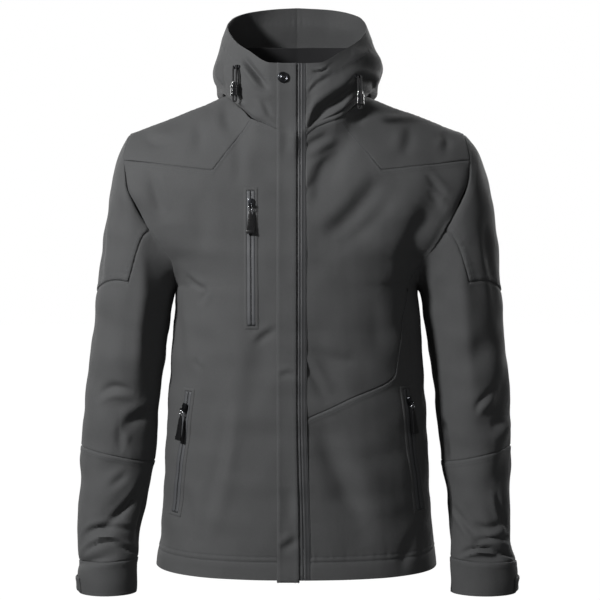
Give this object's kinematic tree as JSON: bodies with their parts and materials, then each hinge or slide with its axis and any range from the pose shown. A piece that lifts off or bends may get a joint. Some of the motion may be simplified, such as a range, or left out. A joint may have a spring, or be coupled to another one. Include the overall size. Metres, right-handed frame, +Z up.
{
  "type": "softshell jacket",
  "caption": "Hooded men's softshell jacket, hollow as worn, with storm flap, front zip, chest and hand zip pockets, snap, cuff tabs and hood drawcords.",
  "frame": {"origin": "middle of the neck at the height where the wearer's shoulders carry the jacket, 680 mm above the side hem", "axes": "+Z up, the front faces -Y, +X towards the wearer's left"},
  "size_m": [0.6572, 0.297, 0.8824],
  "materials": {
    "softshell": "bonded softshell, fine woven face, matt with a slight sheen",
    "inner_cloth": "black brushed knit, matt",
    "zip_tape": "water-repellent coil zip, satin film over the tape",
    "gunmetal": "dark gunmetal plating, polished",
    "pull_rubber": "moulded soft black rubber, satin",
    "drawcord": "braided elastic cord, matt",
    "lock_plastic": "black moulded plastic, glossy"
  },
  "bodies": {
    "garment": {"front_right": "softshell", "front_left_lower": "softshell", "front_left_upper": "softshell", "yoke_left": "softshell", "yoke_right": "softshell", "back": "softshell", "sleeve_cap_right": "softshell", "sleeve_upper_right": "softshell", "sleeve_lower_right": "softshell", "cuff_right": "softshell", "cuff_tab_right": "softshell", "sleeve_cap_left": "softshell", "sleeve_upper_left": "softshell", "sleeve_lower_left": "softshell", "cuff_left": "softshell", "cuff_tab_left": "softshell", "hood_left": "softshell", "hood_right": "softshell", "stand_collar": "inner_cloth", "storm_flap": "softshell", "front_zip": "zip_tape", "chest_zip": "zip_tape", "chest_slider": "gunmetal", "hand_right_zip": "zip_tape", "hand_right_slider": "gunmetal", "hand_left_zip": "zip_tape", "hand_left_slider": "gunmetal", "snap": "gunmetal", "eyelet_right": "gunmetal", "cord_right": "drawcord", "cord_lock_right": "lock_plastic", "eyelet_left": "gunmetal", "cord_left": "drawcord", "cord_lock_left": "lock_plastic"},
    "chest_tab": {"chest_pull": "pull_rubber"},
    "hand_right_tab": {"hand_right_pull": "pull_rubber"},
    "hand_left_tab": {"hand_left_pull": "pull_rubber"}
  },
  "joints": [
    {"name": "chest_tab_hinge", "type": "hinge", "parent": "garment", "child": "chest_tab", "pos_m": [-0.06703, -0.12843, -0.14464], "axis": [-0.9938, 0.1105, -0.0079], "range_deg": [0, 110]},
    {"name": "hand_right_tab_hinge", "type": "hinge", "parent": "garment", "child": "hand_right_tab", "pos_m": [-0.16833, -0.08457, -0.44257], "axis": [-0.6762, 0.7246, 0.1332], "range_deg": [0, 110]},
    {"name": "hand_left_tab_hinge", "type": "hinge", "parent": "garment", "child": "hand_left_tab", "pos_m": [0.16877, -0.08468, -0.43311], "axis": [-0.6643, -0.7353, -0.1342], "range_deg": [0, 110]}
  ]
}
